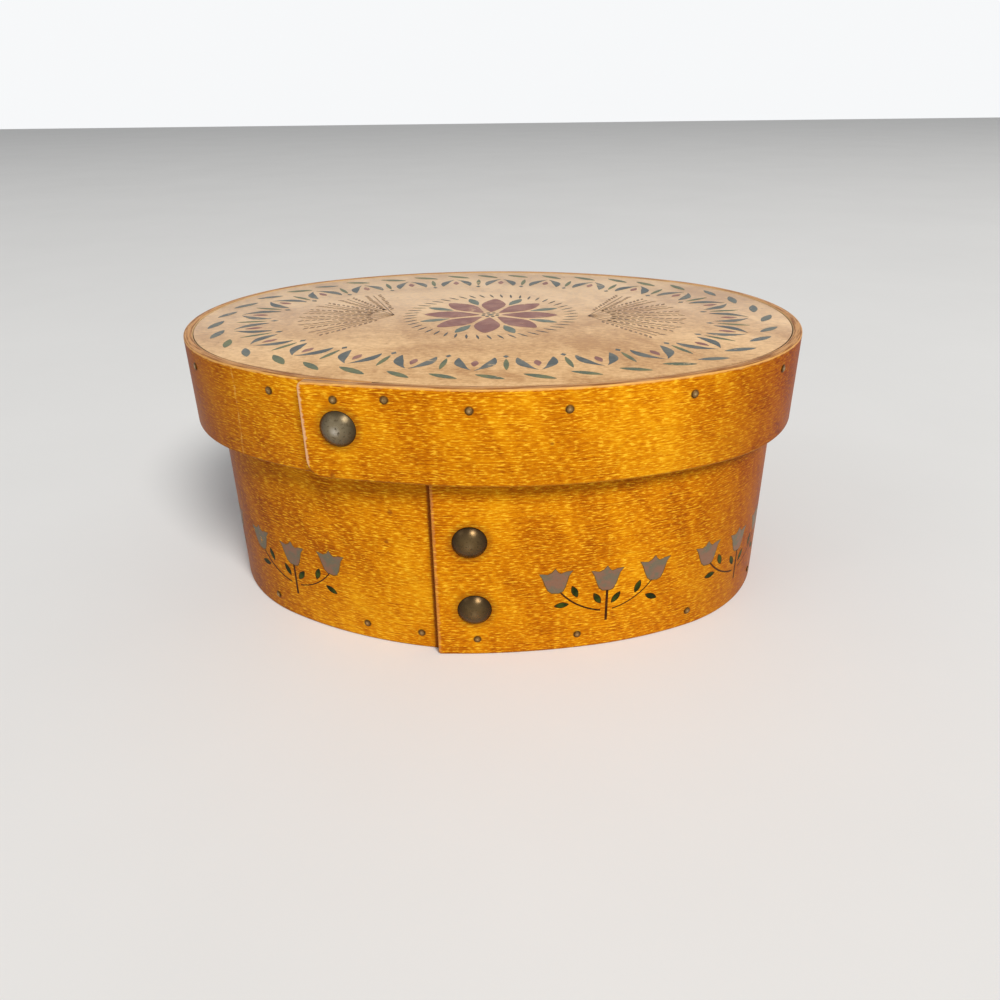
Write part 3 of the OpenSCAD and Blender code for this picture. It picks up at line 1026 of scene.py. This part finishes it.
# %% Stencil one sprig
def bar_mark(name, low, high, width):
    """A straight stroke up Y."""
    bpy.ops.mesh.primitive_plane_add(size=1.0)
    bar = bpy.context.object
    bar.name = name
    edit(bar)
    bpy.ops.transform.resize(value=(width, high - low, 1.0))
    bpy.ops.transform.translate(value=(0, (low + high) / 2, 0))
    edit()
    return bar


def arc_mark(name, centre, radius, start, sweep, width):
    """A stroke along an arc: a short edge spun about a centre. Turns are in degrees from straight down."""
    bpy.ops.mesh.primitive_plane_add(size=1.0)
    arc = bpy.context.object
    arc.name = name
    edit(arc)
    bpy.ops.mesh.delete(type="ONLY_FACE")
    pick("VERT", lambda v: v.co.y > 0)
    bpy.ops.mesh.delete(type="VERT")
    bpy.ops.mesh.select_all(action="SELECT")
    bpy.ops.mesh.subdivide(number_cuts=1)
    edit()
    begin = facing(math.radians(start))
    for vertex in arc.data.vertices:
        vertex.co = Vector(centre) + (radius + vertex.co.x * width) * begin
    edit(arc)
    bpy.ops.mesh.select_all(action="SELECT")
    bpy.ops.mesh.spin(steps=14, angle=math.radians(abs(sweep)), center=centre,
                      axis=(0, 0, -1 if sweep > 0 else 1))
    edit()
    return arc


def grown(size, middle_y):
    """Scales a mark about a point on its own Y axis."""
    move = Matrix.Translation((0, middle_y, 0))
    return move @ Matrix.Diagonal((size, size, 1, 1)) @ move.inverted()


def put_down(x, y, z, degrees):
    """A turn about Z, then a move to a place."""
    return Matrix.Translation((x, y, z)) @ Matrix.Rotation(math.radians(degrees), 4, "Z")


def make_sprig():
    marks = []
    for x, lean, low in ((-16.4, 2, 21.9), (0, 0, 21.1), (16.4, 1, 21.9)):
        turn = put_down(x * mm, low * mm, 0, lean)
        marks.append((copy_of(tulip, "tulip", turn), tulip_paint, 1, film))
        marks.append((copy_of(tulip, "rim", turn @ grown(1.08, 4.4 * mm)), rim_paint, 1, thin_film))
    for x, y, lean in ((-14.8, 17.2, 4), (-10.6, 21.8, -68), (-3.2, 18.4, -60),
                       (3.0, 17.9, 53), (10.4, 20.6, 70), (15.4, 15.8, -28)):
        turn = put_down(x * mm, y * mm, 0, lean)
        marks.append((copy_of(sprig_leaf, "leaf", turn @ grown(0.86, 0.0)), green_paint, 1, film))
        marks.append((copy_of(sprig_leaf, "rim", turn @ grown(1.06, 0.0)), stem_paint, 1, thin_film))
    marks.append((bar_mark("stem", 9.6 * mm, 21.4 * mm, 0.85 * mm), stem_paint, 3, thin_film))
    for side, width in ((-1, 0.6), (1, 0.42)):
        centre = (side * -2.5 * mm, 35.6 * mm, 0)
        branch = arc_mark("branch", centre, 22.3 * mm, side * 11.6, side * 41.4, width * mm)
        marks.append((branch, stem_paint, 0, thin_film))
    for mark, colour, cuts, coat in marks:
        mark.data.materials.clear()
        mark.data.materials.append(colour)
        thicken(mark, cuts, coat)
    return join("sprig", [mark[0] for mark in marks])


sprig = make_sprig()
print("one sprig", [round(d / mm, 1) for d in sprig.dimensions[:2]], "mm")


# %% Lay the sprigs on the hoop
def lay_on_hoop(piece, hoop, place):
    """Bends a flat painted piece on to the hoop's face, its X along the strip and its Y up."""
    start = hoop.along_of(place)
    flat = piece.data.attributes.new("flat", "FLOAT_VECTOR", "POINT")
    for vertex, kept in zip(piece.data.vertices, flat.data):
        x, y, lift = vertex.co
        kept.vector = (start + x, 0.0, y)
        vertex.co = hoop.place(start + x, -lift - film_gap, y)
    return piece


first_sprig, sprig_count = 40.5 * mm, 9
sprigs = []
for number in range(sprig_count):
    twin = copy_of(sprig, f"sprig_{number}")
    sprigs.append(lay_on_hoop(twin, body, first_sprig + number * body.round / (sprig_count + 1)))
tulip_border = join("tulip_border", sprigs)
for spare in (sprig, tulip, sprig_leaf):
    bpy.data.objects.remove(spare)
print("tulip border", len(tulip_border.data.polygons), "faces")

# %% [markdown]
# ## Painted lid
#
# The lid has a border of slanting leaves, green at the front and bluer at the
# ends. Inside it is a plain folk design: a ring of paired commas, each pair
# with a red bud, and slim leaves with diamonds between them, a dusty red
# rosette in the middle, and a fan of sepia seed heads on each side.

# %% Paints for the lid
border_green = paint("border green", tint(0.105, 0.125, 0.040), tint(0.055, 0.080, 0.035), peach)
border_blue = paint("border blue", tint(0.105, 0.120, 0.095), tint(0.065, 0.085, 0.085), peach)
slate_paint = paint("slate blue", tint(0.040, 0.055, 0.055), tint(0.095, 0.105, 0.090), peach)
red_paint = paint("dusty red", tint(0.190, 0.060, 0.045), tint(0.270, 0.115, 0.085), peach)
teal_paint = paint("soft teal", tint(0.075, 0.110, 0.085), tint(0.130, 0.155, 0.115), peach)
dark_paint = paint("charcoal", tint(0.025, 0.024, 0.020), tint(0.070, 0.062, 0.045), peach)
sepia_paint = paint("sepia", tint(0.170, 0.090, 0.032), tint(0.260, 0.150, 0.065), peach)
paint_z = lid_top_z + film_gap
lid_marks = []


def lay(mark, colour, x, y, turn, size=1.0):
    """Copies a mark on to the lid, turned in degrees about its own middle."""
    place = put_down(x + lid_shift[0], y + lid_shift[1], paint_z, turn)
    twin = copy_of(mark, "mark", place @ Matrix.Diagonal((size, size, 1, 1)))
    twin.data.materials.clear()
    twin.data.materials.append(colour)
    lid_marks.append(twin)


def lay_round(mark, colour, place, grow, turn, size=1.0, inward=0.0):
    """Lays a mark on the oval that lies grow outside the body's, turned from its direction."""
    point, out = on_oval(place, grow)
    point -= inward * out
    along = math.degrees(math.atan2(out.x, -out.y))
    lay(mark, colour, point.x, point.y, along + turn, size)


# %% Leaves and commas round the lid
chance = random.Random(7)
border_leaf = thicken(leaf_mark("border leaf", 10.4 * mm, 3.0 * mm))
left_comma = thicken(leaf_mark("left comma", 13.0 * mm, 3.1 * mm, sides=22, tail=2.6, sway=-1.5 * mm))
right_comma = thicken(leaf_mark("right comma", 13.0 * mm, 3.1 * mm, sides=22, tail=2.6, sway=1.5 * mm))
bud = thicken(leaf_mark("bud", 5.6 * mm, 2.3 * mm, sides=16, tail=1.4))
slim_leaf = thicken(leaf_mark("slim leaf", 10.5 * mm, 1.7 * mm))
diamond = thicken(oval_mark("diamond", 4, 2.2 * mm, 1.5 * mm))
leaf_count, comma_count = 38, 24
leaf_grow, blue_from, all_blue_from = -4.2, 62 * mm, 84 * mm
for number in range(leaf_count):
    grow = (leaf_grow + chance.uniform(-0.7, 0.7)) * mm
    place = (number + 0.45 + chance.uniform(-0.08, 0.08)) * round_length(grow) / leaf_count
    point, _ = on_oval(place, grow)
    blue = abs(point.x) > blue_from and (number % 3 != 1 or abs(point.x) > all_blue_from)
    lay_round(border_leaf, border_blue if blue else border_green, place, grow,
              -26 + chance.uniform(-5, 5), chance.uniform(0.88, 1.06))
ring_grow, comma_apart, comma_lean = -15.4 * mm, 3.7 * mm, 24
for number in range(comma_count):
    step = round_length(ring_grow) / comma_count
    for mark, half in ((left_comma, -1), (right_comma, 1)):
        place = number * step + half * comma_apart
        lay_round(mark, slate_paint, place, ring_grow, 90 - half * comma_lean, chance.uniform(0.95, 1.04))
    lay_round(bud, red_paint, number * step, ring_grow, 90, inward=0.8 * mm)
    lay_round(slim_leaf, border_green, (number + 0.5) * step, ring_grow, 90)
    lay_round(diamond, slate_paint, (number + 0.5) * step, ring_grow, 90, 0.62, inward=7.6 * mm)
print("marks round the lid", len(lid_marks))

# %% The rosette
petal = thicken(leaf_mark("petal", 19.5 * mm, 9.0 * mm, sides=22, tail=1.7))
small_petal = thicken(leaf_mark("small petal", 10.5 * mm, 3.6 * mm, tail=1.5))
tick = thicken(leaf_mark("tick", 5.2 * mm, 0.9 * mm, sides=8))
bead = thicken(oval_mark("bead", 12, 1.1 * mm, 1.1 * mm))
rosette_y = 2.0 * mm


def lay_wheel(mark, colour, count, radius, turn=0.0, size=1.0, start=0.0):
    """A ring of marks that point away from the rosette's middle."""
    for number in range(count):
        angle = 360 * number / count + start
        out = Vector((math.cos(math.radians(angle)), math.sin(math.radians(angle))))
        lay(mark, colour, radius * out.x, rosette_y + radius * out.y, angle + turn, size)


lay_wheel(petal, red_paint, 8, 13.6 * mm)
lay_wheel(small_petal, teal_paint, 8, 20.0 * mm, start=22.5)
lay_wheel(tick, dark_paint, 48, 28.2 * mm, start=3.75, turn=18)
lay_wheel(bead, dark_paint, 8, 2.6 * mm, start=22.5, size=0.62)
lay(bead, slate_paint, 0.0, rosette_y, 0, 1.1)
print("marks with the rosette", len(lid_marks))

# %% Seed heads at the sides
seed = thicken(leaf_mark("seed", 2.7 * mm, 1.15 * mm, sides=8))
stalk = thicken(bar_mark("stalk", 0.0, 32.0 * mm, 0.45 * mm))
fan_out, first_seed, seed_step, seed_lean = 34.0 * mm, 9.0 * mm, 2.3 * mm, 32
for side in (-1, 1):
    foot_x, foot_y = side * fan_out, 1.0 * mm
    for spread in (-57, -38, -19, 0, 19, 38, 57):
        lean = side * -90 + spread + 8 * side
        lay(stalk, sepia_paint, foot_x, foot_y, lean)
        up = Vector((-math.sin(math.radians(lean)), math.cos(math.radians(lean))))
        across = Vector((up.y, -up.x))
        for step in range(11):
            reach = first_seed + seed_step * step
            for half in (-1, 1):
                gap = (1.2 + 0.12 * step) * mm + chance.uniform(0, 0.4) * mm
                spot = Vector((foot_x, foot_y)) + up * reach + across * half * gap
                turn = lean + 90 - half * seed_lean
                lay(seed, sepia_paint, spot.x, spot.y, turn, chance.uniform(0.8, 1.1))
for spare in (border_leaf, left_comma, right_comma, bud, slim_leaf, diamond,
              petal, small_petal, tick, bead, seed, stalk):
    bpy.data.objects.remove(spare)
lid_design = join("lid_design", lid_marks)
keep_flat(lid_design, order=(0, 2, 1))
print("lid design", len(lid_design.data.polygons), "faces")

# %% [markdown]
# ## Attach the pieces
#
# Each piece rides on the box or on the lid and stands for its CAD node, which is
# hidden. Paint has no node of its own, so it only rides.

# %% Ride, replace and finish
for piece, rider, node, slot in (
        (body_hoop, "box", "body_band", "hoop_wood"),
        (base_panel, "box", "base_board", "board_wood"),
        (tacks[0], "box", "body_tack_upper", "tack_brass"),
        (tacks[1], "box", "body_tack_lower", "tack_brass"),
        (body_brads, "box", "base_brads", "brad_steel"),
        (lid_hoop, "lid", "lid_band", "hoop_wood"),
        (lid_panel, "lid", "lid_board", "board_wood"),
        (tacks[2], "lid", "lid_tack", "tack_brass"),
        (lid_brads, "lid", "lid_brads", "brad_steel")):
    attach(piece, rider)
    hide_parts(node)
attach(tulip_border, "box")
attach(lid_design, "lid")

own_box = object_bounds()
hair = 1e-6
inside = all(cad_box[0][k] - hair <= own_box[0][k] and own_box[1][k] <= cad_box[1][k] + hair
             for k in range(3))
print("inside the CAD box", inside)
